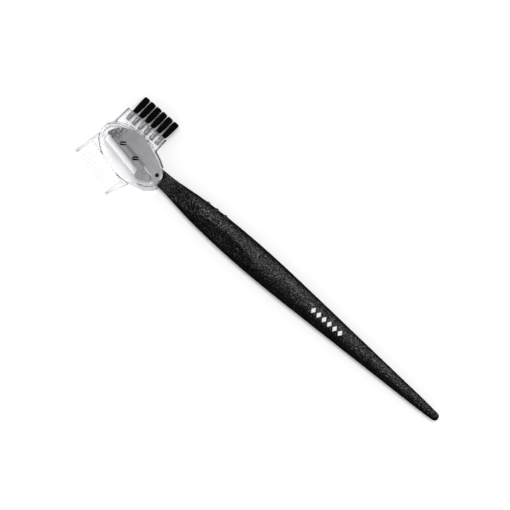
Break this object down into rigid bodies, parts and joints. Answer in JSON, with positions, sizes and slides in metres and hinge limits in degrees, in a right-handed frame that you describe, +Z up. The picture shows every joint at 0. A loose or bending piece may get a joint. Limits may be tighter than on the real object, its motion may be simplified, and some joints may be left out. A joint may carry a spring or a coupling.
{
  "type": "brow tint brush and comb",
  "caption": "Slim two-sided brow tint brush: tapered black handle, clear oval head with a tufted brush on one side and a fine comb on the other, and a steel half-moon plate on a rivet.",
  "frame": {"origin": "centre of the whole tool's plan box, on the surface it lies on", "axes": "+X along the handle towards the head, +Y towards the comb side, -Y towards the brush side, +Z up through the steel plate's face"},
  "size_m": [0.1691, 0.0379, 0.0083],
  "materials": {
    "handle_black": "moulded with a fine pebbled grain",
    "clear_plastic": "polished clear moulding",
    "brushed_steel": "brushed grey",
    "edge_steel": "fine ground",
    "rivet_dark": "blackened",
    "bristle_black": "nylon filaments",
    "print_white": "pad-printed ink, plain marks",
    "bright_wire": "drawn wire"
  },
  "bodies": {
    "tool": {"handle": "handle_black", "clear_head": "clear_plastic", "pivot_rivet": "rivet_dark", "pivot_washer": "bright_wire", "back_washer": "bright_wire", "tuft_1_1": "bristle_black", "tuft_1_2": "bristle_black", "tuft_1_3": "bristle_black", "tuft_1_4": "bristle_black", "tuft_1_5": "bristle_black", "tuft_1_6": "bristle_black", "tuft_2_1": "bristle_black", "tuft_2_2": "bristle_black", "tuft_2_3": "bristle_black", "tuft_2_4": "bristle_black", "tuft_2_5": "bristle_black", "tuft_2_6": "bristle_black", "anchor_1_1": "bright_wire", "anchor_1_2": "bright_wire", "anchor_1_3": "bright_wire", "anchor_1_4": "bright_wire", "anchor_1_5": "bright_wire", "anchor_1_6": "bright_wire", "anchor_2_1": "bright_wire", "anchor_2_2": "bright_wire", "anchor_2_3": "bright_wire", "anchor_2_4": "bright_wire", "anchor_2_5": "bright_wire", "anchor_2_6": "bright_wire"},
    "blade": {"blade_plate": "brushed_steel", "edge_strip": "edge_steel"}
  },
  "joints": [
    {"name": "blade_swing", "type": "hinge", "parent": "tool", "child": "blade", "pos_m": [0.055, 0.00075, 0.00585], "axis": [0, 0, 1], "range_deg": [0, 90]}
  ]
}
